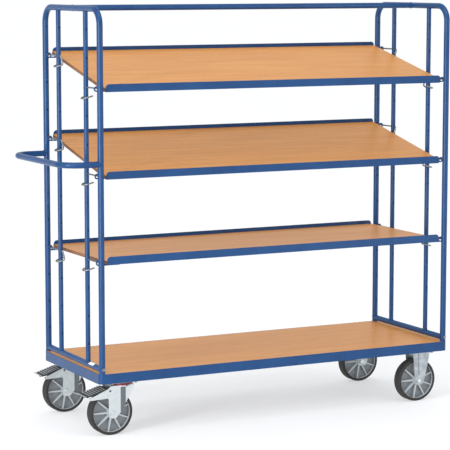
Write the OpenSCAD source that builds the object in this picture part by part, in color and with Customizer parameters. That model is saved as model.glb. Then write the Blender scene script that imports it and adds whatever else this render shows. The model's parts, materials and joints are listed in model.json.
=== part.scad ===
/* [End frames] */
// Distance along the truck between the upright axes of the two end frames
frame_len = 1748; // [1000:1:2400]
// Distance across the truck between the front and rear outer upright axes
frame_dep = 616; // [480:1:900]
// Height of the end frames' top tube axis above the platform
frame_rise = 1572; // [1000:1:1900]
// Diameter of the outer upright and bow tube
upright_d = 27; // [22:0.5:34]
// Wall of the outer upright tube
upright_wall = 2; // [1.5:0.1:3]
// Axis radius of the bow's top bends
bow_bend = 70; // [50:1:110]
// Diameter of the crossbars, the top tube and the handle tube
cross_d = 26.4; // [20:0.2:33]
// Wall of the crossbars, the top tube and the handle tube
cross_wall = 2; // [1.5:0.1:3]
// Diameter of the inner uprights
inner_d = 21.4; // [18:0.2:26]
// Wall of the inner uprights
inner_wall = 1.8; // [1.2:0.1:2.5]
// Distance from an outer upright axis to its inner upright axis
inner_gap = 154; // [120:1:190]
// Height of the crossbar axis above the platform
crossbar_rise = 19; // [17:0.5:30]

/* [Hole grid] */
// Height of the lowest hole above the platform
hole_first = 109; // [80:1:140]
// Spacing of the holes up the uprights
hole_pitch = 125; // [90:1:160]
// Number of the hole, counted from the lowest, that carries the level shelf
level_shelf_hole = 4; // [2:1:5]

/* [Shelf pins] */
// Wire diameter of a shelf pin
pin_d = 7; // [6:0.1:8.5]
// Radial clearance of a pin in its holes
pin_clear = 0.1; // [0.05:0.01:0.2]
// Height of the pin's drop below its shaft
pin_drop = 42; // [34:1:60]
// Axis radius of the tight bends
pin_bend = 8; // [6:0.5:12]
// Axis radius of the hook that wraps the inner upright
pin_wrap = 24; // [20:0.5:30]
// Straight tail after the hook
pin_tail = 20; // [8:1:24]
// Lean of the hanging hook towards the truck's middle
pin_lean = 15; // [8:1:20]

/* [Platform] */
// Overhang of the platform beyond the upright axes at each end
end_overhang = 17; // [14:0.5:40]
// Height of the platform's angle frame
base_h = 44; // [36:1:60]
// Steel thickness of the angle frame
base_steel = 3; // [2:0.1:5]
// Width of the angle frame's bottom flange
base_flange = 35; // [25:1:50]
// Corner radius of the angle frame
base_corner = 20; // [8:1:30]
// Thickness of the platform board
base_board_t = 18; // [12:0.5:21]
// Number of cross members under the board
cross_members = 5; // [3:1:8]
// Width of a cross member
member_w = 30; // [20:1:40]

/* [Shelves] */
// Distance from the upright axis to the end of a shelf rail
rail_end_gap = 29; // [24:1:40]
// Distance that the rails' outer faces stand inside the outer upright axes
rail_side_gap = 0; // [0:1:12]
// Height of a shelf rail
rail_h = 35; // [28:1:50]
// Steel thickness of a shelf rail
rail_t = 2.5; // [1.5:0.1:4]
// Width of the rail's bottom flange
rail_flange = 42; // [40:1:60]
// Corner radius of a rail's upper ends
rail_corner = 16; // [8:1:24]
// Height of the rail's lip above the shelf board
shelf_lip = 17.5; // [10:0.5:24]
// Distance that the board's ends stand out past the rails' ends
board_over = 3; // [0:0.5:6]
// Clear inner diameter of a hanging eye
eye_in_d = 13; // [11:0.5:18]
// Bar diameter of a hanging eye
eye_bar = 6.4; // [5:0.2:8]
// Distance from the outer upright axis to the eye
eye_inset = 31; // [27:1:40]
// Length of an eye's welded tail
eye_tail = 70; // [50:1:120]

/* [Handle] */
// Distance from the upright axis to the grip bar axis
handle_reach = 165; // [120:1:260]
// Height of the handle above the platform
handle_rise = 911; // [700:1:1000]
// Axis radius of the handle's bends
handle_bend = 85; // [50:1:110]

/* [Wheels] */
// Wheel diameter
wheel_d = 200; // [160:1:240]
// Width of the tyre
tyre_w = 46; // [35:1:50]
// Radial thickness of the tyre
tyre_t = 10; // [8:1:25]
// Width across the rim's hub
hub_w = 64; // [54:1:70]
// Number of ribs on each side of the rim
rim_ribs = 9; // [5:1:12]
// Diameter of the axle bolt
axle_d = 12; // [10:0.5:14]
// Height from the top of the wheel to the platform's underside
caster_crown = 36; // [30:1:42]
// Distance from the platform's end to the middle of a caster plate
caster_end = 126; // [100:1:200]
// Distance from the platform's side to the wheel's middle plane
caster_side = 60; // [58:1:120]
// Distance that a swivel wheel trails its kingpin
trail = 55; // [40:1:75]
// Distance from a fixed caster plate's middle to its wheel axle
fixed_offset = 16; // [0:1:30]
// Length of a caster's top plate
plate_w = 135; // [120:1:150]
// Width of a caster's top plate
plate_d = 90; // [84:1:100]
// Thickness of a caster's top plate
plate_t = 4; // [3:0.5:6]
// Bolt spacing along a caster's top plate
plate_hole_x = 112; // [108:1:120]
// Bolt spacing across a caster's top plate
plate_hole_y = 66; // [60:1:72]
// Radius of the red ring round the swivel race
ring_r = 44; // [38:1:46]
// Steel thickness of the forks and brackets
fork_t = 3; // [2:0.5:5]
// Diameter of the kingpins
kingpin_d = 14; // [10:0.5:18]
// Width of a brake pedal's tread
pedal_w = 84; // [64:1:90]
// Slope of a brake pedal's tread, in degrees
pedal_slope = 17; // [14:1:20]
// Travel of a brake pedal, in degrees
pedal_travel = 5; // [3:1:6]

/* [Fasteners] */
// Shank diameter of the caster bolts and the foot bolts
bolt_d = 8; // [6:0.5:10]
// Width across a bolt head's corners
bolt_head_d = 15; // [12:0.5:18]
// Height of a bolt head
bolt_head_h = 5.3; // [4:0.1:7]
// Radial clearance of the bolts and the axles in their bores
bolt_clear = 0.1; // [0.05:0.01:0.3]

/* [Hidden] */
$fn = 64;

LEFT = -1;
RIGHT = 1;
FRONT = -1;
REAR = 1;
weld_gap = 0.1;
seat_gap = 0.3;

wheel_r = wheel_d / 2;
under_z = wheel_d + caster_crown;
deck_z = under_z + base_h;
top_z = deck_z + frame_rise;
upright_y = frame_dep / 2;
inner_y = upright_y - inner_gap;
end_x = frame_len / 2;
base_len = frame_len + 2 * end_overhang;
base_dep = frame_dep + upright_d;
pin_hole_d = pin_d + 2 * pin_clear;

// The handle reaches further out than the platform, so the middle of the whole
// truck lies off the middle of the end frames.
reach_left = end_x + handle_reach + cross_d / 2;
reach_right = base_len / 2;
mid_x = (reach_right - reach_left) / 2;

// Holes run up to where the bow starts to bend.
hole_count = floor((frame_rise - bow_bend - hole_first) / hole_pitch) + 1;
level_k = level_shelf_hole - 1;
top_rear_k = hole_count - 2;
top_front_k = top_rear_k - 1;
middle_rear_k = round((level_k + top_rear_k) / 2);
middle_front_k = middle_rear_k - 1;

board_z = base_h - base_board_t;
board_clear = 0.3;
spigot_d = upright_d - 2 * upright_wall - 0.4;
spigot_h = 45;
gusset_w = 50;
foot_bolt_z = 21;
caster_x = base_len / 2 - caster_end;
caster_y = base_dep / 2 - caster_side;
mount_w = plate_w + 15;
mount_t = 5;

shelf_dep = frame_dep - 2 * rail_side_gap;
rail_len = frame_len - 2 * rail_end_gap;
shelf_board_t = rail_h - shelf_lip - rail_t;
eye_y = upright_y - eye_inset;
eye_r = (eye_in_d + eye_bar) / 2;

flange_top = -eye_r + eye_bar / 2 + rail_t;
rail_under = flange_top - rail_t;

crown_t = 5;
race_h = 12;
race_step = 5;
race_gap = 0.3;
side_in = hub_w / 2 + 1;
side_out = side_in + fork_t;
web_in = tyre_w / 2 + 4;
leg_x = 37;
web_x = 64;
plate_under = wheel_r + caster_crown - plate_t;
crown_top = plate_under - race_h;
crown_under = crown_top - crown_t;

pedal_x = -12;
pedal_z = wheel_r - 1;
pedal_pin_d = 9;
pedal_in = 12;
pedal_out = trail + 57;
tread_rise = 13.6;

function hole_z(k) = deck_z + hole_first + k * hole_pitch;

blue = "#24508f";
beech = "#d8a878";
zinc = "#c8cdd2";
rubber = "#33353a";
plastic = "#8b9094";

// ---- shared shapes -------------------------------------------------------

module placed() translate([-mid_x, 0, 0]) children();

module ring_2d(d, wall) {
    difference() {
        circle(d = d);
        if (wall < d / 2) circle(d = d - 2 * wall);
    }
}

// A straight stretch of tube or bar along +Z; the children carry on from its end.
module run(l, d, wall) {
    linear_extrude(l) ring_2d(d, wall);
    translate([0, 0, l]) children();
}

// A bend that turns the +Z heading towards +X; the children carry on from its end.
module turn(r, a, d, wall) {
    translate([r, 0, 0]) rotate([90, 0, 0]) rotate([0, 0, 180 - a])
        rotate_extrude(angle = a) translate([r, 0]) ring_2d(d, wall);
    translate([r - r * cos(a), 0, r * sin(a)]) rotate([0, a, 0]) children();
}

module y_rod(d, y_from, y_to) {
    translate([0, y_to, 0]) rotate([90, 0, 0]) cylinder(d = d, h = y_to - y_from);
}

module x_rod(d, x_from, x_to) {
    translate([x_from, 0, 0]) rotate([0, 90, 0]) cylinder(d = d, h = x_to - x_from);
}

module round_rect(w, d, r) {
    square([w - 2 * r, d], center = true);
    square([w, d - 2 * r], center = true);
    for (sx = [-1, 1], sy = [-1, 1]) translate([sx * (w / 2 - r), sy * (d / 2 - r)]) circle(r = r);
}

// An outline in the X-Z plane, as thick as y_from to y_to.
module xz_plate(y_from, y_to) {
    translate([0, y_to, 0]) rotate([90, 0, 0]) linear_extrude(y_to - y_from) children();
}

// Draws its children at the four upright feet, mirrored so that -X and -Y face outwards.
module each_foot() {
    for (mx = [0, 1], my = [0, 1]) mirror([mx, 0, 0]) mirror([0, my, 0])
        translate([-end_x, -upright_y, 0]) children();
}

// ---- end frames ----------------------------------------------------------

module bow(side) {
    color(blue) placed() translate([side * end_x, 0, 0]) difference() {
        translate([0, -upright_y, deck_z]) rotate([0, 0, 90])
            run(frame_rise - bow_bend, upright_d, upright_wall)
            turn(bow_bend, 90, upright_d, upright_wall)
            run(frame_dep - 2 * bow_bend, upright_d, upright_wall)
            turn(bow_bend, 90, upright_d, upright_wall)
            run(frame_rise - bow_bend, upright_d, upright_wall);
        for (k = [0 : hole_count - 1]) translate([0, 0, hole_z(k)])
            y_rod(pin_hole_d, -upright_y, upright_y);
        translate([0, 0, deck_z + foot_bolt_z])
            y_rod(bolt_d + 2 * bolt_clear, -upright_y - upright_d, -upright_y);
        translate([0, 0, deck_z + foot_bolt_z])
            y_rod(bolt_d + 2 * bolt_clear, upright_y, upright_y + upright_d);
    }
}

module crossbar(side) {
    color(blue) placed() translate([side * end_x, 0, 0]) difference() {
        translate([0, -upright_y, deck_z + crossbar_rise]) rotate([-90, 0, 0])
            run(frame_dep, cross_d, cross_wall);
        for (sy = [FRONT, REAR]) translate([0, sy * upright_y, deck_z - 1])
            cylinder(d = upright_d + 2 * weld_gap, h = 2 * crossbar_rise + cross_d);
    }
}

module inner_upright(side, depth_side) {
    color(blue) placed() translate([side * end_x, depth_side * inner_y, 0]) difference() {
        translate([0, 0, deck_z + crossbar_rise])
            run(frame_rise - crossbar_rise, inner_d, inner_wall);
        translate([0, 0, deck_z + crossbar_rise]) y_rod(cross_d + 2 * weld_gap, -inner_d, inner_d);
        translate([0, 0, top_z]) y_rod(upright_d + 2 * weld_gap, -inner_d, inner_d);
        for (k = [0 : hole_count - 1]) translate([0, 0, hole_z(k)])
            y_rod(pin_hole_d, -inner_d, inner_d);
    }
}

module top_tube() {
    color(blue) placed() translate([0, 0, top_z]) difference() {
        translate([-end_x, 0, 0]) rotate([0, 90, 0]) run(frame_len, cross_d, cross_wall);
        for (side = [LEFT, RIGHT]) translate([side * end_x, 0, 0])
            y_rod(upright_d + 2 * weld_gap, -cross_d, cross_d);
    }
}

module handle() {
    leg = handle_reach - handle_bend;
    color(blue) placed() translate([-end_x, 0, deck_z + handle_rise]) difference() {
        translate([0, -upright_y, 0]) rotate([0, -90, 0]) rotate([0, 0, 90])
            run(leg, cross_d, cross_wall)
            turn(handle_bend, 90, cross_d, cross_wall)
            run(frame_dep - 2 * handle_bend, cross_d, cross_wall)
            turn(handle_bend, 90, cross_d, cross_wall)
            run(leg, cross_d, cross_wall);
        for (sy = [FRONT, REAR]) translate([0, sy * upright_y, -cross_d])
            cylinder(d = upright_d + 2 * weld_gap, h = 2 * cross_d);
    }
}

// ---- platform ------------------------------------------------------------

module base_frame() {
    inner_len = base_len - 2 * base_steel;
    inner_dep = base_dep - 2 * base_steel;
    inner_corner = max(base_corner - base_steel, 1);
    member_h = board_z - base_steel;
    span = base_len - 2 * (caster_end + mount_w / 2) - member_w;
    color(blue) placed() difference() {
        union() {
            translate([0, 0, under_z]) linear_extrude(base_h) difference() {
                round_rect(base_len, base_dep, base_corner);
                round_rect(inner_len, inner_dep, inner_corner);
            }
            translate([0, 0, under_z]) linear_extrude(base_steel) difference() {
                round_rect(base_len - base_steel, base_dep - base_steel, base_corner);
                square([base_len - 2 * base_flange, base_dep - 2 * base_flange], center = true);
            }
            for (i = [0 : cross_members - 1])
                translate([span * (i / (cross_members - 1) - 0.5), 0, under_z + base_steel])
                    cross_member(inner_dep, member_h);
            for (sx = [LEFT, RIGHT], sy = [FRONT, REAR])
                translate([sx * caster_x, sy * caster_y, under_z]) mount_plate(sy);
            each_foot() foot_spigot();
        }
        for (sx = [LEFT, RIGHT], sy = [FRONT, REAR])
            translate([sx * caster_x, sy * caster_y, under_z - 1]) plate_holes(mount_t + 2);
        for (sx = [LEFT, RIGHT]) translate([sx * end_x, 0, deck_z + foot_bolt_z])
            y_rod(bolt_d + 2 * bolt_clear, -base_dep, base_dep);
    }
}

// A box-section member with its long way across the truck.
module cross_member(len, h) {
    wall = 2;
    translate([0, len / 2 + 0.5, h / 2]) rotate([90, 0, 0]) linear_extrude(len + 1) difference() {
        square([member_w, h], center = true);
        square([member_w - 2 * wall, h - 2 * wall], center = true);
    }
}

// A plate between the side flange and the board's middle, which takes a caster.
module mount_plate(depth_side) {
    reach = caster_side - base_steel / 2;
    y0 = depth_side > 0 ? -mount_w / 2 : -reach;
    translate([-mount_w / 2, y0, 0]) cube([mount_w, mount_w / 2 + reach, mount_t]);
}

module plate_holes(h) {
    for (sx = [-1, 1], sy = [-1, 1]) translate([sx * plate_hole_x / 2, sy * plate_hole_y / 2, 0])
        cylinder(d = bolt_d + 2 * bolt_clear, h = h);
}

// The boss that an upright stands on, with the peg that its foot slips over, on a gusset.
module foot_spigot() {
    gusset_t = 4;
    edge_x = end_overhang - base_steel / 2;
    edge_y = (upright_d - base_steel) / 2;
    translate([0, 0, under_z + board_z - gusset_t]) {
        cylinder(d = spigot_d, h = gusset_t + base_board_t + spigot_h);
        cylinder(d = upright_d - 2, h = gusset_t + base_board_t);
        translate([-edge_x, base_corner - edge_y, 0]) cube([gusset_w, gusset_w - base_corner, gusset_t]);
        translate([base_corner - edge_x, -edge_y, 0]) cube([gusset_w - base_corner, gusset_w, gusset_t]);
    }
}

module base_board() {
    edge = base_steel + board_clear;
    notch_d = upright_d + 2 * board_clear;
    color(beech) placed() translate([0, 0, under_z + board_z]) difference() {
        linear_extrude(base_board_t)
            round_rect(base_len - 2 * edge, base_dep - 2 * edge, max(base_corner - edge, 1));
        each_foot() translate([0, 0, -1]) {
            cylinder(d = notch_d, h = base_board_t + 2);
            translate([-notch_d, -notch_d, 0]) cube([notch_d, notch_d, base_board_t + 2]);
        }
    }
}

// ---- shelves -------------------------------------------------------------

// Places a shelf, drawn about the middle of its eyes, on the pins of two holes.
module shelf_on(front_k, rear_k) {
    tilt = asin((rear_k - front_k) * hole_pitch / (2 * eye_y));
    hang = eye_r * cos(tilt) - (eye_bar + pin_d) / 2 - seat_gap;
    placed() translate([0, 0, (hole_z(front_k) + hole_z(rear_k)) / 2 - hang]) rotate([tilt, 0, 0])
        children();
}

module shelf_board(front_k, rear_k) {
    color(beech) shelf_on(front_k, rear_k)
        translate([-rail_len / 2 - board_over, -shelf_dep / 2 + rail_t, flange_top])
            cube([rail_len + 2 * board_over, shelf_dep - 2 * rail_t, shelf_board_t]);
}

module shelf_rail(front_k, rear_k, depth_side) {
    color(blue) shelf_on(front_k, rear_k) mirror([0, depth_side > 0 ? 1 : 0, 0]) {
        translate([0, -shelf_dep / 2, rail_under]) xz_plate(0, rail_t) rail_face();
        translate([-rail_len / 2, -shelf_dep / 2, rail_under]) cube([rail_len, rail_flange, rail_t]);
        for (side = [0, 1]) mirror([side, 0, 0]) translate([end_x, -eye_y, 0]) eye();
    }
}

module rail_face() {
    translate([-rail_len / 2, 0]) square([rail_len, rail_h - rail_corner]);
    translate([-rail_len / 2 + rail_corner, 0]) square([rail_len - 2 * rail_corner, rail_h]);
    for (side = [-1, 1]) translate([side * (rail_len / 2 - rail_corner), rail_h - rail_corner])
        circle(r = rail_corner);
}

// A bent eye whose tail runs back along the underside of the rail's flange.
module eye() {
    opening = 45;
    rotate([90, 0, 0]) rotate([0, 0, -90]) rotate_extrude(angle = 360 - opening)
        translate([eye_r, 0]) circle(d = eye_bar);
    translate([0, 0, -eye_r]) x_rod(eye_bar, -rail_end_gap - eye_tail, 0);
}

// ---- shelf pins ----------------------------------------------------------

// A wire pin: its shaft crosses from the outer upright to the inner upright, and
// its hook drops and wraps the inner upright from the end of the truck.
module shelf_pin(k, side, depth_side) {
    tip_y = inner_gap - upright_d / 2 + upright_wall + 4;
    shaft = tip_y + pin_wrap - pin_bend;
    color(zinc) placed() translate([side * end_x, depth_side * inner_y, hole_z(k)])
        mirror([side > 0 ? 1 : 0, 0, 0]) mirror([0, depth_side < 0 ? 1 : 0, 0])
        translate([0, tip_y, 0]) rotate([90, 90 - pin_lean, 0])
        run(shaft, pin_d, pin_d)
        turn(pin_bend, 90, pin_d, pin_d)
        run(pin_drop - 2 * pin_bend, pin_d, pin_d)
        rotate([0, 0, -90]) turn(pin_bend, 90, pin_d, pin_d)
        rotate([0, 0, 90]) turn(pin_wrap, 180, pin_d, pin_d)
        run(pin_tail, pin_d, pin_d);
}

// ---- wheels --------------------------------------------------------------

// Places a wheel part whose origin is the middle of its axle.
module at_wheel(side, depth_side) {
    x = side < 0 ? -caster_x - trail : caster_x - fixed_offset;
    placed() translate([x, depth_side * caster_y, wheel_r]) children();
}

module tyre(side, depth_side) {
    shoulder = min(7, tyre_t / 2);
    color(rubber) at_wheel(side, depth_side) rotate([90, 0, 0]) rotate_extrude($fn = 128) {
        translate([wheel_r - tyre_t, -tyre_w / 2]) square([tyre_t - shoulder, tyre_w]);
        translate([wheel_r - tyre_t, -tyre_w / 2 + shoulder]) square([tyre_t, tyre_w - 2 * shoulder]);
        for (s = [-1, 1]) translate([wheel_r - shoulder, s * (tyre_w / 2 - shoulder)])
            circle(r = shoulder);
    }
}

module rim(side, depth_side) {
    seat_r = wheel_r - tyre_t;
    lip = 5;
    rim_w = tyre_w - 2;
    web = 6;
    hub_r = 22;
    color(plastic) at_wheel(side, depth_side) difference() {
        union() {
            rotate([90, 0, 0]) rotate_extrude($fn = 128) {
                translate([seat_r - lip, -rim_w / 2]) square([lip, rim_w]);
                translate([hub_r - 2, -web / 2]) square([seat_r - lip - hub_r + 3, web]);
                translate([0, -hub_w / 2]) square([hub_r, hub_w]);
            }
            for (i = [0 : rim_ribs - 1]) rotate([0, (i + 0.5) * 360 / rim_ribs, 0])
                xz_plate(-rim_w / 2 + 2, rim_w / 2 - 2) polygon([
                    [hub_r - 2, -4.5], [seat_r - lip + 1, -2], [seat_r - lip + 1, 2], [hub_r - 2, 4.5]
                ]);
        }
        y_rod(axle_d + 2 * bolt_clear, -hub_w, hub_w);
    }
}

// An axle bolt with its head towards the near side and a nut on the other.
module axle(side, depth_side) {
    head = 8;
    head_d = axle_d * 1.85;
    color(zinc) at_wheel(side, depth_side) {
        y_rod(axle_d, -side_out - 1, side_out + 1);
        xz_plate(-side_out - head, -side_out) circle(d = head_d, $fn = 6);
        xz_plate(side_out, side_out + head) circle(d = head_d, $fn = 6);
    }
}

module caster_plate() {
    difference() {
        translate([0, 0, plate_under]) linear_extrude(plate_t) round_rect(plate_w, plate_d, 8);
        translate([0, 0, plate_under - 1]) plate_holes(plate_t + 2);
    }
}

module swivel_plate(depth_side) {
    race_t = race_h - race_step - race_gap;
    color(zinc) at_wheel(LEFT, depth_side) translate([trail, 0, 0]) {
        caster_plate();
        translate([0, 0, plate_under - race_t]) cylinder(r = ring_r - 12, h = race_t + 1);
        translate([0, 0, crown_under - 7]) cylinder(d = kingpin_d, h = crown_t + 20);
        translate([0, 0, crown_under - 9]) cylinder(d = kingpin_d * 1.6, h = 9 - race_gap, $fn = 6);
    }
}

// Outline of a swivel fork's side: the leg to the axle, the arm to the pedal and the web behind.
module fork_side_2d() {
    low_slope = pedal_slope + pedal_travel;
    arm_top = pedal_z + tread_rise / cos(low_slope) - 1;
    arm_len = pedal_out;
    polygon([
        [-19, -16], [-13, -23], [15, -23], [52, 17], [trail + 52, crown_under + 1],
        [trail + 30, crown_top], [-8, crown_top], [-24, arm_top - tan(low_slope) * 12],
        [-arm_len, arm_top - tan(low_slope) * (arm_len + pedal_x)],
        [6 - arm_len, wheel_r - 36], [-24, wheel_r - 33], [-19, wheel_r - 38]
    ]);
}

// One side of the fork seen from above: a flat leg, then a slanted flank, then a set-back web.
module fork_plan_2d() {
    far = trail + 60;
    polygon([
        [-pedal_out - 20, side_in], [leg_x, side_in], [web_x, web_in], [far, web_in],
        [far, web_in + fork_t], [web_x, web_in + fork_t], [leg_x, side_out], [-pedal_out - 20, side_out]
    ]);
}

module swivel_fork(depth_side) {
    bore = kingpin_d + 2 * bolt_clear;
    color(zinc) at_wheel(LEFT, depth_side) difference() {
        union() {
            for (flip = [0, 1]) mirror([0, flip, 0]) intersection() {
                xz_plate(0, side_out + 1) fork_side_2d();
                translate([0, 0, -wheel_r]) linear_extrude(2 * wheel_r + crown_top) fork_plan_2d();
            }
            translate([-6, -side_out + 1, crown_under]) cube([leg_x + 6, 2 * side_out - 2, crown_t]);
            translate([leg_x - 1, -web_in - 1, crown_under]) cube([trail + 14, 2 * web_in + 2, crown_t]);
            translate([trail, 0, crown_under]) cylinder(r = ring_r, h = crown_t);
            translate([trail, 0, crown_top - 1]) cylinder(r = ring_r - 14, h = race_step + 1);
        }
        translate([trail, 0, crown_under - 1]) cylinder(d = bore, h = crown_t + race_step + 2);
        y_rod(axle_d + 2 * bolt_clear, -side_out - 1, side_out + 1);
        translate([pedal_x, 0, pedal_z]) y_rod(pedal_pin_d + 2 * pin_clear, -side_out - 1, side_out + 1);
    }
}

// The red ring that shields the swivel race, with its small release lug.
module swivel_ring(depth_side) {
    ring_h = 8;
    color("#b3262b") at_wheel(LEFT, depth_side) translate([trail, 0, crown_top]) difference() {
        union() {
            cylinder(r = ring_r, h = ring_h);
            translate([0, -9, 0]) cube([ring_r + 9, 18, ring_h]);
        }
        translate([0, 0, -1]) cylinder(r = ring_r - 10, h = ring_h + 2);
    }
}

// The pedal's tread with its cross ribs and its turned-up lip, seen from the side.
module tread_2d() {
    tread_t = 4;
    ribs = 7;
    rib_step = (pedal_out - pedal_in - 16) / ribs;
    rotate(pedal_slope) translate([-pedal_out, tread_rise]) {
        square([pedal_out - pedal_in, tread_t]);
        polygon([[0, 0], [tread_t, tread_t - 1], [-6, 10], [-8, 8]]);
        for (i = [1 : ribs]) translate([i * rib_step, tread_t - 1]) square([4, 4]);
    }
}

// One cheek from the tread down to the pedal's pivot, seen from the side.
module cheek_2d() {
    circle(r = 6);
    rotate(pedal_slope) polygon([
        [-pedal_in - 34, tread_rise + 1], [-pedal_in, tread_rise + 1], [4, 4.4], [-3, -5.1]
    ]);
}

// The brake shoe under the tread, seen from the side.
module shoe_2d() {
    shoe_h = 9;
    rotate(pedal_slope) translate([-42, tread_rise + 1 - shoe_h]) square([16, shoe_h]);
}

// A ribbed brake pedal: a tread over the arms, cheeks down to its pivot, and a brake shoe.
module swivel_pedal(depth_side) {
    cheek_t = 3;
    cheek_y = side_in - race_gap - cheek_t;
    shoe_y = 12;
    color("#2b2d30") at_wheel(LEFT, depth_side) translate([pedal_x, 0, pedal_z]) {
        xz_plate(-pedal_w / 2, pedal_w / 2) tread_2d();
        xz_plate(-shoe_y, shoe_y) shoe_2d();
        for (side = [0, 1]) mirror([0, side, 0]) {
            xz_plate(cheek_y, cheek_y + cheek_t) cheek_2d();
            y_rod(pedal_pin_d, cheek_y + 1, side_out + 1);
        }
    }
}

// A rigid caster's bracket: a plate and two tapering legs with a pressed rib.
module fixed_bracket(depth_side) {
    leg_top = 46;
    color(zinc) at_wheel(RIGHT, depth_side) difference() {
        union() {
            translate([fixed_offset, 0, 0]) caster_plate();
            for (s = [-1, 1]) {
                xz_plate(min(s * side_in, s * side_out), max(s * side_in, s * side_out)) polygon([
                    [-17, -13], [-11, -20], [22, -20], [30, -10],
                    [fixed_offset + leg_top, plate_under + 1], [fixed_offset - leg_top, plate_under + 1]
                ]);
                xz_plate(min(s * (side_out - 1), s * (side_out + 4)), max(s * (side_out - 1), s * (side_out + 4)))
                    polygon([[2, 26], [14, 26], [22, plate_under + 1], [-2, plate_under + 1]]);
            }
        }
        y_rod(axle_d + 2 * bolt_clear, -side_out - 1, side_out + 1);
    }
}

// ---- fasteners -----------------------------------------------------------

module caster_bolts() {
    shank = plate_t + mount_t;
    color(zinc) placed() for (sx = [LEFT, RIGHT], sy = [FRONT, REAR])
        translate([sx * caster_x, sy * caster_y, under_z])
            for (px = [-1, 1], py = [-1, 1]) translate([px * plate_hole_x / 2, py * plate_hole_y / 2, 0]) {
                translate([0, 0, -plate_t - 1]) cylinder(d = bolt_d, h = shank + 2);
                translate([0, 0, -plate_t - bolt_head_h]) cylinder(d = bolt_head_d, h = bolt_head_h, $fn = 6);
                translate([0, 0, mount_t]) cylinder(d = bolt_head_d, h = bolt_head_h, $fn = 6);
            }
}

module foot_bolts() {
    face = upright_y + upright_d / 2;
    color(zinc) placed() for (sx = [LEFT, RIGHT], sy = [0, 1])
        translate([sx * end_x, 0, deck_z + foot_bolt_z]) mirror([0, sy, 0]) {
            y_rod(bolt_d, -face - 1, -upright_y + spigot_d / 2 - 4);
            xz_plate(-face - bolt_head_h, -face) circle(d = bolt_head_d, $fn = 6);
        }
}

base_frame();
base_board();
bow(LEFT);  // bow_left
bow(RIGHT);  // bow_right
crossbar(LEFT);  // crossbar_left
crossbar(RIGHT);  // crossbar_right
inner_upright(LEFT, FRONT);  // inner_upright_left_front
inner_upright(LEFT, REAR);  // inner_upright_left_rear
inner_upright(RIGHT, FRONT);  // inner_upright_right_front
inner_upright(RIGHT, REAR);  // inner_upright_right_rear
top_tube();
handle();
shelf_board(level_k, level_k);  // level_shelf_board
shelf_rail(level_k, level_k, FRONT);  // level_shelf_rail_front
shelf_rail(level_k, level_k, REAR);  // level_shelf_rail_rear
shelf_board(middle_front_k, middle_rear_k);  // middle_shelf_board
shelf_rail(middle_front_k, middle_rear_k, FRONT);  // middle_shelf_rail_front
shelf_rail(middle_front_k, middle_rear_k, REAR);  // middle_shelf_rail_rear
shelf_board(top_front_k, top_rear_k);  // top_shelf_board
shelf_rail(top_front_k, top_rear_k, FRONT);  // top_shelf_rail_front
shelf_rail(top_front_k, top_rear_k, REAR);  // top_shelf_rail_rear
shelf_pin(level_k, LEFT, FRONT);  // level_pin_left_front
shelf_pin(level_k, LEFT, REAR);  // level_pin_left_rear
shelf_pin(level_k, RIGHT, FRONT);  // level_pin_right_front
shelf_pin(level_k, RIGHT, REAR);  // level_pin_right_rear
shelf_pin(middle_front_k, LEFT, FRONT);  // middle_pin_left_front
shelf_pin(middle_rear_k, LEFT, REAR);  // middle_pin_left_rear
shelf_pin(middle_front_k, RIGHT, FRONT);  // middle_pin_right_front
shelf_pin(middle_rear_k, RIGHT, REAR);  // middle_pin_right_rear
shelf_pin(top_front_k, LEFT, FRONT);  // top_pin_left_front
shelf_pin(top_rear_k, LEFT, REAR);  // top_pin_left_rear
shelf_pin(top_front_k, RIGHT, FRONT);  // top_pin_right_front
shelf_pin(top_rear_k, RIGHT, REAR);  // top_pin_right_rear
swivel_plate(FRONT);  // swivel_plate_front
swivel_fork(FRONT);  // swivel_fork_front
swivel_ring(FRONT);  // swivel_ring_front
swivel_pedal(FRONT);  // swivel_pedal_front
axle(LEFT, FRONT);  // swivel_axle_front
rim(LEFT, FRONT);  // swivel_rim_front
tyre(LEFT, FRONT);  // swivel_tyre_front
swivel_plate(REAR);  // swivel_plate_rear
swivel_fork(REAR);  // swivel_fork_rear
swivel_ring(REAR);  // swivel_ring_rear
swivel_pedal(REAR);  // swivel_pedal_rear
axle(LEFT, REAR);  // swivel_axle_rear
rim(LEFT, REAR);  // swivel_rim_rear
tyre(LEFT, REAR);  // swivel_tyre_rear
fixed_bracket(FRONT);  // fixed_bracket_front
axle(RIGHT, FRONT);  // fixed_axle_front
rim(RIGHT, FRONT);  // fixed_rim_front
tyre(RIGHT, FRONT);  // fixed_tyre_front
fixed_bracket(REAR);  // fixed_bracket_rear
axle(RIGHT, REAR);  // fixed_axle_rear
rim(RIGHT, REAR);  // fixed_rim_rear
tyre(RIGHT, REAR);  // fixed_tyre_rear
caster_bolts();
foot_bolts();
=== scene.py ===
"""Looks for a blue four-tier shelf trolley on casters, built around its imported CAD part.

Everything is in metres, in the CAD's own frame: X along the trolley with the push
handle at -X, Y across it with the front at -Y, and Z up from the floor.
"""

import json
import math

import bmesh
import bpy
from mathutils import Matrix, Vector


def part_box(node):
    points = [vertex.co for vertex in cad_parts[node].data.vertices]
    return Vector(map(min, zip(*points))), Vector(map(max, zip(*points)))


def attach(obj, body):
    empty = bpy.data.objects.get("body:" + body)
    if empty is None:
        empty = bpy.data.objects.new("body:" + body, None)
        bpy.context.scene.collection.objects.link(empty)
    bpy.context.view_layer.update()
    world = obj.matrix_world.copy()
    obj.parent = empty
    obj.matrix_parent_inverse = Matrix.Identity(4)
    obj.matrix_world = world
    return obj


MM = 0.001
X = Vector((1, 0, 0))
Y = Vector((0, 1, 0))
Z = Vector((0, 0, 1))

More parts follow.
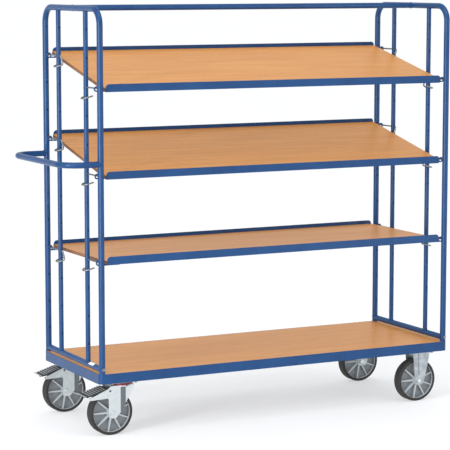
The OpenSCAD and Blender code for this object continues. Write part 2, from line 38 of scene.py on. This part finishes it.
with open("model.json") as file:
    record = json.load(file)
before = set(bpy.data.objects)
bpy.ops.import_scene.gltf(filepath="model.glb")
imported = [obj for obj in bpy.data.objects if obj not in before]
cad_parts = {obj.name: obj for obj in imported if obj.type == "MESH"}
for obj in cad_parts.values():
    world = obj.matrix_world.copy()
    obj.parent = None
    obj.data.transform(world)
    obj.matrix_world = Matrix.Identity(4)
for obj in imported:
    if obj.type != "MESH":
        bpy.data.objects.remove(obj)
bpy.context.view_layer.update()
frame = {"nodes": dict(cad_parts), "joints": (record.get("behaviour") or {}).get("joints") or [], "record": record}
nodes = frame["nodes"]


def middle(node):
    """The middle of a CAD node's box."""
    low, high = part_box(node)
    return (low + high) / 2


def half_size(node):
    """Half the size of a CAD node's box: the radius of an upright tube is its X."""
    low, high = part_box(node)
    return (high - low) / 2


# ---- shader building -------------------------------------------------------


def linear(hex_colour):
    """An sRGB hex value as linear red, green, blue and alpha."""
    parts = [int(hex_colour[i : i + 2], 16) / 255 for i in (1, 3, 5)]
    return [c / 12.92 if c <= 0.04045 else ((c + 0.055) / 1.055) ** 2.4 for c in parts] + [1.0]


def add(tree, kind, inputs=None, to=None, **settings):
    """Adds one shader node and returns it.

    settings are its own, inputs gives each of its sockets a value or a link, and to
    is the pair of its output and the socket that this output feeds.
    """
    made = tree.nodes.new("ShaderNode" + kind)
    for name, value in settings.items():
        setattr(made, name, value)
    for name, value in (inputs or {}).items():
        if isinstance(value, bpy.types.NodeSocket):
            tree.links.new(value, made.inputs[name])
        else:
            made.inputs[name].default_value = value
    if to:
        tree.links.new(made.outputs[to[0]], to[1])
    return made


# Where the sockets of a Mix node that mixes colours are: they share their names with others.
AMOUNT, FIRST, SECOND, MIXED = 0, 6, 7, 2


def start_material(name, **sockets):
    """A material whose shader has its own sockets set.

    Returns it with its tree, the shader's sockets, and the place of each point of the surface.
    """
    made = bpy.data.materials.new(name)
    made.use_nodes = True
    tree = made.node_tree
    shader = tree.nodes["Principled BSDF"]
    for socket, value in sockets.items():
        shader.inputs[socket.replace("_", " ")].default_value = value
    return made, tree, shader.inputs, add(tree, "TexCoord").outputs["Object"]


def grains(tree, place, size_mm, detail=2.0, stretch=(1, 1, 1)):
    """A pattern of grains size_mm across, and stretch times that along each axis.

    Returns the raw pattern, and the same with its middle spread to run from 0 to 1.
    """
    scale = [1 / (size_mm * MM * s) for s in stretch]
    laid = add(tree, "Mapping", {"Vector": place, "Scale": scale}).outputs["Vector"]
    raw = add(tree, "TexNoise", {"Vector": laid, "Scale": 1.0, "Detail": detail}).outputs[0]
    spread = add(tree, "MapRange", {"Value": raw, "From Min": 0.3, "From Max": 0.7})
    return raw, spread.outputs[0]


# ---- materials -------------------------------------------------------------


def powder_coat():
    """Polyester powder coat, sprayed dry and baked on steel: a smooth semi-gloss skin.

    The eye sees a soft highlight that breaks up slightly in the orange peel, and a
    shade that wanders a little with the thickness of the film.
    """
    made, tree, skin, place = start_material("blue_powder_coat", Roughness=0.3, IOR=1.4)
    film = grains(tree, place, 90, 3.0)[1]
    add(
        tree, "Mix", {AMOUNT: film, FIRST: linear("#0d3b6b"), SECOND: linear("#114375")},
        to=(MIXED, skin["Base Color"]), data_type="RGBA",
    )
    haze = grains(tree, place, 25)[1]
    add(
        tree, "MapRange", {"Value": haze, "To Min": 0.28, "To Max": 0.32},
        to=(0, skin["Roughness"]),
    )
    # The film's thickness wanders over 90 mm and its gloss over 25 mm. Orange peel is
    # about 2 mm across; it is drawn at 3 mm so that it shows.
    peel = grains(tree, place, 3.0, 1.0)[0]
    add(tree, "Bump", {"Height": peel, "Distance": 0.002 * MM}, to=(0, skin["Normal"]))
    return made


def beech_laminate():
    """Beech decor paper pressed in melamine on chipboard, with a brown edge band.

    The eye sees long fine grain along the board, short dark flecks, broad streaks
    that wander in tone, and a satin sheen with a trace of the press plate's texture.
    The underside is plain grey-brown balancing paper.
    """
    made, tree, skin, place = start_material("beech_laminate", Roughness=0.4, IOR=1.47)
    # Growth streaks are about 16 mm wide and run for 400 mm. Printed pores are 0.5 mm wide,
    # drawn at 2.4 mm so that they show, and ray flecks 1 mm by 5 mm, drawn at 3 mm by 14 mm.
    streaks = grains(tree, place, 16, 3.0, (26, 1, 1))[1]
    pores_raw, pores = grains(tree, place, 2.4, 2.0, (34, 1, 1))
    flecks_raw, flecks = grains(tree, place, 3.2, 1.0, (4.5, 1, 1))
    tone = add(
        tree, "Mix", {AMOUNT: streaks, FIRST: linear("#dd9c50"), SECOND: linear("#ca863d")},
        data_type="RGBA",
    )
    pored = add(tree, "MapRange", {"Value": pores, "To Max": 0.3})
    tone = add(
        tree, "Mix",
        {AMOUNT: pored.outputs[0], FIRST: tone.outputs[MIXED], SECOND: linear("#bf7b33")},
        data_type="RGBA",
    )
    flecked = add(
        tree, "MapRange", {"Value": flecks_raw, "From Min": 0.6, "From Max": 0.72, "To Max": 0.35}
    )
    tone = add(
        tree, "Mix",
        {AMOUNT: flecked.outputs[0], FIRST: tone.outputs[MIXED], SECOND: linear("#9a6230")},
        data_type="RGBA",
    )
    # The boards lie nearly flat: 0.7 parts their faces from their edges.
    normal = add(tree, "TexCoord").outputs["Normal"]
    upright = add(tree, "SeparateXYZ", {0: normal}).outputs["Z"]
    flat = add(tree, "Math", {0: upright}, operation="ABSOLUTE").outputs[0]
    face = add(tree, "Math", {0: flat, 1: 0.7}, operation="GREATER_THAN").outputs[0]
    under = add(tree, "Math", {0: upright, 1: -0.7}, operation="LESS_THAN").outputs[0]
    band = add(
        tree, "Mix", {AMOUNT: pores, FIRST: linear("#8a5a36"), SECOND: linear("#74482a")},
        data_type="RGBA",
    )
    backing = add(
        tree, "Mix", {AMOUNT: flecks, FIRST: linear("#9b958d"), SECOND: linear("#8b857d")},
        data_type="RGBA",
    )
    seen = add(
        tree, "Mix", {AMOUNT: face, FIRST: band.outputs[MIXED], SECOND: tone.outputs[MIXED]},
        data_type="RGBA",
    )
    add(
        tree, "Mix", {AMOUNT: under, FIRST: seen.outputs[MIXED], SECOND: backing.outputs[MIXED]},
        to=(MIXED, skin["Base Color"]), data_type="RGBA",
    )
    add(
        tree, "MapRange", {"Value": pores, "To Min": 0.36, "To Max": 0.44},
        to=(0, skin["Roughness"]),
    )
    add(tree, "Bump", {"Height": pores_raw, "Distance": 0.04 * MM}, to=(0, skin["Normal"]))
    return made


def zinc_sheet(name, bright="#dbe2e3", dull="#cfd6d9", flank_shade="#d3d9dc"):
    """Pressed steel sheet, electroplated bright zinc and passivated pale blue.

    The eye sees a pale satin metal, clouded in patches, with faint drawing marks from
    the press tool running down the legs. Faces that lean along the truck, such as a
    slanted flank, get the flank colour: a painted shade for the shade such a flank is in.
    """
    made, tree, skin, place = start_material(name, Metallic=1.0, Roughness=0.42)
    # The clouds are 22 mm across. The drawing marks are 0.5 mm wide, drawn at 1.6 mm to show.
    clouds = grains(tree, place, 22, 3.0)[1]
    marks_raw, marks = grains(tree, place, 1.6, 2.0, (1, 1, 16))
    tone = add(
        tree, "Mix", {AMOUNT: clouds, FIRST: linear(bright), SECOND: linear(dull)},
        data_type="RGBA",
    )
    marked = add(tree, "MapRange", {"Value": marks, "To Max": 0.2})
    tone = add(
        tree, "Mix",
        {AMOUNT: marked.outputs[0], FIRST: tone.outputs[MIXED], SECOND: linear("#b4bcc0")},
        data_type="RGBA",
    )
    facing = add(
        tree, "VectorTransform", {0: add(tree, "NewGeometry").outputs["True Normal"]},
        vector_type="NORMAL", convert_from="WORLD", convert_to="OBJECT",
    )
    along = add(tree, "SeparateXYZ", {0: facing.outputs[0]}).outputs["X"]
    # A flank's normal leans 0.1 to 0.35 along the truck; a flat leg's doesn't lean at all. Faces that lean so get
    # the flank colour, a painted shade.
    flank_shade_mask = add(tree, "Math", {0: along, 1: 0.22, 2: 0.12}, operation="COMPARE")
    add(
        tree, "Mix",
        {AMOUNT: flank_shade_mask.outputs[0], FIRST: tone.outputs[MIXED], SECOND: linear(flank_shade)},
        to=(MIXED, skin["Base Color"]), data_type="RGBA",
    )
    add(
        tree, "MapRange", {"Value": clouds, "To Min": 0.36, "To Max": 0.5},
        to=(0, skin["Roughness"]),
    )
    add(tree, "Bump", {"Height": marks_raw, "Distance": 0.02 * MM}, to=(0, skin["Normal"]))
    return made


def zinc_wire(name):
    """Drawn steel, formed cold and zinc plated: a darker metal than the sheet, a little streaked."""
    made, tree, skin, place = start_material(name, Metallic=1.0, Roughness=0.38)
    clouds = grains(tree, place, 5, 3.0)[1]
    add(
        tree, "Mix", {AMOUNT: clouds, FIRST: linear("#9ba1a2"), SECOND: linear("#7c8283")},
        to=(MIXED, skin["Base Color"]), data_type="RGBA",
    )
    add(
        tree, "MapRange", {"Value": clouds, "To Min": 0.3, "To Max": 0.46},
        to=(0, skin["Roughness"]),
    )
    # The die's marks are about 0.3 mm wide; they are drawn at 1.2 mm so that they show.
    pits = grains(tree, place, 1.2)[0]
    add(tree, "Bump", {"Height": pits, "Distance": 0.03 * MM}, to=(0, skin["Normal"]))
    return made


def tyre_rubber():
    """Solid elastic rubber, moulded: near-black with a warm cast, dull, with a dry bloom."""
    made, tree, skin, place = start_material("tyre_rubber", Roughness=0.72, IOR=1.52)
    bloom = grains(tree, place, 12, 4.0)[1]
    add(
        tree, "Mix", {AMOUNT: bloom, FIRST: linear("#1d1b1a"), SECOND: linear("#2a2826")},
        to=(MIXED, skin["Base Color"]), data_type="RGBA",
    )
    add(
        tree, "MapRange", {"Value": bloom, "To Min": 0.64, "To Max": 0.8},
        to=(0, skin["Roughness"]),
    )
    # The mould's grain is about 0.5 mm; it is drawn at 1.6 mm so that it shows.
    mould = grains(tree, place, 1.6)[0]
    add(tree, "Bump", {"Height": mould, "Distance": 0.06 * MM}, to=(0, skin["Normal"]))
    return made


def rim_nylon():
    """Grey moulded nylon: satin, with the tops of its ribs and lips painted paler, a painted highlight where they
    catch the light.
    """
    made, tree, skin, place = start_material("rim_nylon", Roughness=0.42, IOR=1.53)
    flow = grains(tree, place, 20, 3.0)[1]
    body = add(
        tree, "Mix", {AMOUNT: flow, FIRST: linear("#70767a"), SECOND: linear("#7c8286")},
        data_type="RGBA",
    )
    # How far a point is from the wheel's middle plane: the web is near it, the rib tops far.
    across = add(tree, "SeparateXYZ", {0: place}).outputs["Y"]
    distance = add(tree, "Math", {0: across}, operation="ABSOLUTE").outputs[0]
    aside = add(
        tree, "Math", {0: distance, 1: middle("fixed_tyre_rear").y}, operation="SUBTRACT"
    ).outputs[0]
    height = add(tree, "Math", {0: aside}, operation="ABSOLUTE").outputs[0]
    # The rib and lip tops are painted paler: a painted highlight where they catch the light.
    rib_top_highlight = add(
        tree, "MapRange", {"Value": height, "From Min": 10 * MM, "From Max": 19 * MM}
    ).outputs[0]
    add(
        tree, "Mix", {AMOUNT: rib_top_highlight, FIRST: body.outputs[MIXED], SECOND: linear("#a6acaf")},
        to=(MIXED, skin["Base Color"]), data_type="RGBA",
    )
    add(
        tree, "MapRange", {"Value": flow, "To Min": 0.37, "To Max": 0.48},
        to=(0, skin["Roughness"]),
    )
    # The tool's grain is about 0.3 mm; it is drawn at 1.4 mm so that it shows.
    tooling = grains(tree, place, 1.4)[0]
    add(tree, "Bump", {"Height": tooling, "Distance": 0.04 * MM}, to=(0, skin["Normal"]))
    return made


def pedal_nylon():
    """Black moulded nylon, whose cross ribs are worn smooth by boots; their tops are painted grey, a painted
    highlight where they catch the light.
    """
    made, tree, skin, place = start_material("pedal_nylon", Roughness=0.45, IOR=1.53)
    flow = grains(tree, place, 20, 3.0)[1]
    body = add(
        tree, "Mix", {AMOUNT: flow, FIRST: linear("#1b1d1f"), SECOND: linear("#26282a")},
        data_type="RGBA",
    )
    # The height above the pedal's pivot, measured square to the slope of its tread.
    slope = math.radians(17)
    square_to_tread = Vector((-math.sin(slope), 0, math.cos(slope)))
    pivot = Vector(
        next(j["pos_m"] for j in frame["joints"] if j["name"] == "brake_pedal_front")
    )
    reach = add(
        tree, "VectorMath", {0: place, 1: square_to_tread}, operation="DOT_PRODUCT"
    ).outputs["Value"]
    height = add(
        tree, "Math", {0: reach, 1: pivot.dot(square_to_tread)}, operation="SUBTRACT"
    ).outputs[0]
    # Rib tops are painted grey, a painted highlight, and are made smoother as real wear.
    rib_highlight_and_polish = add(
        tree, "MapRange", {"Value": height, "From Min": 18.2 * MM, "From Max": 20.2 * MM}
    ).outputs[0]
    add(
        tree, "Mix", {AMOUNT: rib_highlight_and_polish, FIRST: body.outputs[MIXED], SECOND: linear("#8f9294")},
        to=(MIXED, skin["Base Color"]), data_type="RGBA",
    )
    add(
        tree, "MapRange", {"Value": rib_highlight_and_polish, "To Min": 0.46, "To Max": 0.34},
        to=(0, skin["Roughness"]),
    )
    # The tool's grain is about 0.3 mm; it is drawn at 1.4 mm so that it shows.
    tooling = grains(tree, place, 1.4)[0]
    add(tree, "Bump", {"Height": tooling, "Distance": 0.04 * MM}, to=(0, skin["Normal"]))
    return made


def dust_ring_nylon():
    """Dark red moulded nylon: an even satin colour with the fine grain of the tool."""
    made, tree, skin, place = start_material("red_nylon", Roughness=0.4, IOR=1.53)
    flow = grains(tree, place, 20, 3.0)[1]
    add(
        tree, "Mix", {AMOUNT: flow, FIRST: linear("#6c0c13"), SECOND: linear("#7a1018")},
        to=(MIXED, skin["Base Color"]), data_type="RGBA",
    )
    add(
        tree, "MapRange", {"Value": flow, "To Min": 0.35, "To Max": 0.45},
        to=(0, skin["Roughness"]),
    )
    # The tool's grain is about 0.3 mm; it is drawn at 1.4 mm so that it shows.
    tooling = grains(tree, place, 1.4)[0]
    add(tree, "Bump", {"Height": tooling, "Distance": 0.04 * MM}, to=(0, skin["Normal"]))
    return made


def vinyl_film():
    """A blank self-adhesive label: white vinyl film, glossy, with a faint paper tooth."""
    made, tree, skin, place = start_material("vinyl_film", Roughness=0.3, IOR=1.5)
    # Paper's tooth is about 0.3 mm; it is drawn as clouds of 6 mm so that it shows.
    tooth_raw, tooth = grains(tree, place, 6, 3.0)
    add(
        tree, "Mix", {AMOUNT: tooth, FIRST: linear("#eceeef"), SECOND: linear("#f6f6f4")},
        to=(MIXED, skin["Base Color"]), data_type="RGBA",
    )
    add(tree, "Bump", {"Height": tooth_raw, "Distance": 0.02 * MM}, to=(0, skin["Normal"]))
    return made


def studio_floor():
    """Painted studio floor: plain, pale and dull, with the slightest unevenness."""
    made, tree, skin, place = start_material(
        "studio_floor", Roughness=0.9, Emission_Color=(1, 1, 1, 1), Emission_Strength=0.22
    )
    patch = grains(tree, place, 900)[1]
    add(
        tree, "Mix", {AMOUNT: patch, FIRST: linear("#d8d9da"), SECOND: linear("#dbdcdd")},
        to=(MIXED, skin["Base Color"]), data_type="RGBA",
    )
    return made


# ---- CAD nodes -------------------------------------------------------------

PAINT = powder_coat()
RUBBER = tyre_rubber()
SLOT_FINISH = {
    "blue_paint": PAINT,
    "beech_laminate": beech_laminate(),
    "zinc_plate": zinc_sheet("zinc_sheet"),
    "zinc_wire": zinc_wire("zinc_wire"),
    "tyre": RUBBER,
    "grey_plastic": rim_nylon(),
    "black_plastic": pedal_nylon(),
    "red_plastic": dust_ring_nylon(),
}

# The swivel forks' slanted flanks and all of the fixed brackets are painted darker, a painted shade for the shade
# of their folds and pressed ribs, and the bolts are like the wire.
FORK = zinc_sheet("zinc_fork_sheet", flank_shade="#73797c")
BRACKET = zinc_sheet("zinc_bracket_sheet", "#c0c7ca", "#9aa2a6", "#969da1")
BOLTS = zinc_wire("zinc_bolts")
NODE_FINISH = {
    "swivel_fork_front": FORK,
    "swivel_fork_rear": FORK,
    "fixed_bracket_front": BRACKET,
    "fixed_bracket_rear": BRACKET,
    "foot_bolts": BOLTS,
    "caster_bolts": BOLTS,
}

# How far the sharp edges of each finish are rounded.
EDGE_RADIUS = {
    "blue_paint": 0.5 * MM,
    "beech_laminate": 0.6 * MM,
    "zinc_plate": 0.4 * MM,
    "zinc_wire": 0.6 * MM,
    "tyre": 0.4 * MM,
    "grey_plastic": 0.9 * MM,
    "black_plastic": 0.6 * MM,
    "red_plastic": 0.8 * MM,
}


def soften(obj, radius):
    """Joins the split faces, rounds the crisp edges by radius and shades the rest smooth."""
    crisp, coplanar = math.radians(35), math.radians(0.5)
    weld = obj.modifiers.new("join_faces", "WELD")
    weld.merge_threshold = 0.002 * MM
    flat = obj.modifiers.new("merge_flats", "DECIMATE")
    flat.decimate_type = "DISSOLVE"
    flat.angle_limit = coplanar
    bevel = obj.modifiers.new("broken_edge", "BEVEL")
    bevel.width = radius
    bevel.segments = 2
    bevel.limit_method = "ANGLE"
    bevel.angle_limit = crisp
    shade = obj.modifiers.new("flat_faces", "WEIGHTED_NORMAL")
    shade.weight = 100


def finish_cad():
    """Gives every CAD node its finish, and breaks its sharp edges."""
    slots = {part["node"]: part["material_slot"] for part in frame["record"]["subparts"]}
    for name, obj in nodes.items():
        obj.data.materials.clear()
        obj.data.materials.append(NODE_FINISH.get(name, SLOT_FINISH[slots[name]]))
        # A fork's folds stay crisp, so its faces are shaded flat.
        if "fork" in name:
            obj.data.shade_flat()
        else:
            obj.data.shade_smooth()
        soften(obj, EDGE_RADIUS[slots[name]])


finish_cad()


# ---- weld beads ------------------------------------------------------------


def new_piece(name, work, finish, body):
    """Puts the mesh in work in the scene as a piece that rides on a CAD body."""
    mesh = bpy.data.meshes.new(name)
    work.to_mesh(mesh)
    work.free()
    mesh.shade_smooth()
    mesh.materials.append(finish)
    obj = bpy.data.objects.new(name, mesh)
    bpy.context.scene.collection.objects.link(obj)
    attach(obj, body)
    return obj


def lay_bead(work, seam, radius, pitch=3.2 * MM, sides=8):
    """A weld bead round a closed seam, which swells once for each drop of the torch."""
    rings = []
    side = None
    travelled = 0.0
    for i, point in enumerate(seam):
        travelled += (point - seam[i - 1]).length if i else 0.0
        swell = radius * (1 + 0.16 * math.cos(2 * math.pi * travelled / pitch))
        along = (seam[(i + 1) % len(seam)] - seam[i - 1]).normalized()
        if side is None:
            side = along.orthogonal().normalized()
        side = (side - along * side.dot(along)).normalized()
        up = along.cross(side)
        rings.append([
            work.verts.new(point + swell * (math.cos(a) * side + math.sin(a) * up))
            for a in (2 * math.pi * k / sides for k in range(sides))
        ])
    for here, there in zip(rings, rings[1:] + rings[:1]):
        # The bead may come round turned by a few sides, so it joins at the nearest corner.
        shift = min(range(sides), key=lambda s: (here[0].co - there[s].co).length)
        for k in range(sides):
            n = (k + 1) % sides
            far, near = there[(n + shift) % sides], there[(k + shift) % sides]
            work.faces.new((here[k], here[n], far, near))


def branch_seam(centre, branch, main, branch_r, main_r, count=84):
    """The line where a tube, heading along branch, leaves the side of a tube that lies along main."""
    across = branch.cross(main)
    seam = []
    for i in range(count):
        a = 2 * math.pi * i / count
        aside = branch_r * math.sin(a)
        rise = math.sqrt(max(main_r**2 - aside**2, 0.0))
        seam.append(centre + branch_r * math.cos(a) * main + aside * across + rise * branch)
    return seam


def tube_seams():
    """Every seam between the tubes of the two end frames, the top tube and the handle."""
    top = middle("top_tube").z
    seams = []
    for side, inward in (("left", X), ("right", -X)):
        bar = middle(f"crossbar_{side}")
        bar_r = half_size(f"crossbar_{side}").x
        bow_r = half_size(f"bow_{side}").x
        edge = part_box(f"bow_{side}")[1].y - bow_r
        for way in (Y, -Y):
            corner = Vector((bar.x, -way.y * edge, bar.z))
            seams.append(branch_seam(corner, way, Z, bar_r, bow_r))
            if side == "left":
                grip = Vector((bar.x, way.y * edge, middle("handle").z))
                seams.append(branch_seam(grip, -X, Z, bar_r, bow_r))
        for end in ("front", "rear"):
            post = f"inner_upright_{side}_{end}"
            post_y, post_r = middle(post).y, half_size(post).x
            foot, head = Vector((bar.x, post_y, bar.z)), Vector((bar.x, post_y, top))
            seams.append(branch_seam(foot, Z, Y, post_r, bar_r))
            seams.append(branch_seam(head, -Z, Y, post_r, bow_r))
        seams.append(branch_seam(Vector((bar.x, 0, top)), inward, Y, bar_r, bow_r))
    return seams


def make_tube_welds():
    """Fillet beads 4.2 mm thick round the tube joints, under the paint."""
    work = bmesh.new()
    for seam in tube_seams():
        lay_bead(work, seam, 2.1 * MM)
    new_piece("tube_welds", work, PAINT, "truck")


make_tube_welds()


# ---- tyre beads ------------------------------------------------------------

# The section of the lip: its radius, and how far it stands out from the tyre's side, in mm.
LIP_SECTION = (
    (86.0, -1.6), (86.1, -0.5), (86.9, 0.1), (88.6, 0.2), (90.4, 0.0), (91.6, -0.6), (92.2, -1.6),
)


def make_tyre_bead(kind, end, turns=128):
    """The lip that the tyre folds over the rim's edge, on both sides of the wheel."""
    centre = middle(f"{kind}_tyre_{end}")
    half_width = half_size(f"{kind}_tyre_{end}").y
    work = bmesh.new()
    for side in (-1, 1):
        rings = []
        for k in range(turns):
            a = 2 * math.pi * k / turns
            rings.append([
                work.verts.new((
                    centre.x + r * MM * math.cos(a),
                    centre.y + side * (half_width + rise * MM),
                    centre.z + r * MM * math.sin(a),
                ))
                for r, rise in LIP_SECTION
            ])
        for here, there in zip(rings, rings[1:] + rings[:1]):
            for k, (inner, outer) in enumerate(zip(here, here[1:])):
                work.faces.new((inner, outer, there[k + 1], there[k]))
            work.faces.new((here[-1], here[0], there[0], there[-1]))
    bmesh.ops.recalc_face_normals(work, faces=work.faces[:])
    body = f"{kind}_wheel_{end}"
    new_piece(f"tyre_bead_{body}", work, RUBBER, body)


for wheel_end in ("front", "rear"):
    make_tyre_bead("swivel", wheel_end)
    make_tyre_bead("fixed", wheel_end)


# ---- label -----------------------------------------------------------------


def make_label():
    """A blank white label 52 mm long, wrapped on the outer upper side of the left crossbar."""
    centre = middle("crossbar_left")
    radius = half_size("crossbar_left").x + 0.18 * MM
    length, label_y = 52 * MM, -208 * MM
    lowest, wrap = 25, 88
    rows, columns = 8, 6
    work = bmesh.new()
    grid = []
    for i in range(columns + 1):
        y = label_y + length * (i / columns - 0.5)
        line = []
        for j in range(rows + 1):
            a = math.radians(180 - lowest - wrap * j / rows)
            line.append(
                work.verts.new((centre.x + radius * math.cos(a), y, centre.z + radius * math.sin(a)))
            )
        grid.append(line)
    for here, there in zip(grid, grid[1:]):
        for j in range(rows):
            work.faces.new((here[j], here[j + 1], there[j + 1], there[j]))
    bmesh.ops.recalc_face_normals(work, faces=work.faces[:])
    obj = new_piece("blank_label", work, vinyl_film(), "truck")
    film = obj.modifiers.new("film", "SOLIDIFY")
    film.thickness = 0.15 * MM
    film.offset = 0


make_label()


# ---- studio ----------------------------------------------------------------


def make_floor():
    """A plain pale floor that runs far past the trolley."""
    mesh = bpy.data.meshes.new("floor")
    half = 250.0
    corners = [(-half, -half, 0), (half, -half, 0), (half, half, 0), (-half, half, 0)]
    mesh.from_pydata(corners, [], [(0, 1, 2, 3)])
    mesh.materials.append(studio_floor())
    obj = bpy.data.objects.new("floor", mesh)
    bpy.context.scene.collection.objects.link(obj)


def make_world():
    """Even light from all round."""
    world = bpy.data.worlds.new("studio")
    world.use_nodes = True
    sky = world.node_tree.nodes["Background"]
    sky.inputs["Color"].default_value = linear("#fbfcff")
    sky.inputs["Strength"].default_value = 0.75
    bpy.context.scene.world = world


def softbox(name, spot, target, width, height, power):
    """A soft white area light at a spot, facing a target."""
    data = bpy.data.lights.new(name, "AREA")
    data.shape = "RECTANGLE"
    data.size, data.size_y = width, height
    data.energy = power
    obj = bpy.data.objects.new(name, data)
    obj.location = spot
    obj.rotation_euler = (Vector(target) - Vector(spot)).to_track_quat("-Z", "Y").to_euler()
    bpy.context.scene.collection.objects.link(obj)


def make_lights():
    """A broad glow overhead, a tall lamp on the left, a weaker one on the right and two fills."""
    sun = bpy.data.lights.new("overhead", "SUN")
    sun.energy = 1.4
    sun.use_shadow = False
    sun.angle = math.radians(60)
    lamp = bpy.data.objects.new("overhead", sun)
    lamp.rotation_euler = (math.radians(28), math.radians(-12), 0)
    bpy.context.scene.collection.objects.link(lamp)
    softbox("left_box", (-6.5, -3.2, 1.9), (0, 0, 1.0), 0.7, 4.0, 240)
    softbox("right_box", (4.5, -6.5, 2.2), (0, 0, 0.9), 1.2, 4.0, 50)
    softbox("top_box", (-0.5, -2.4, 5.6), (0, 0, 1.2), 4.5, 0.6, 12)
    softbox("low_box", (-4.6, -4.4, 0.5), (-0.7, 0, 0.1), 2.2, 0.7, 45)


def make_camera():
    """A long lens, front left, a little above the top tube and looking slightly down."""
    data = bpy.data.cameras.new("camera")
    data.sensor_width = 36.0
    data.lens = 159.8
    data.clip_end = 600.0
    look_down, look_right = 7.119, 26.915
    obj = bpy.data.objects.new("camera", data)
    obj.location = (-4.1673, -8.1277, 1.9923)
    obj.rotation_euler = (math.radians(90 - look_down), 0, math.radians(-look_right))
    bpy.context.scene.collection.objects.link(obj)
    bpy.context.scene.camera = obj


make_floor()
make_world()
make_lights()
make_camera()
bpy.context.scene.view_settings.view_transform = "Standard"
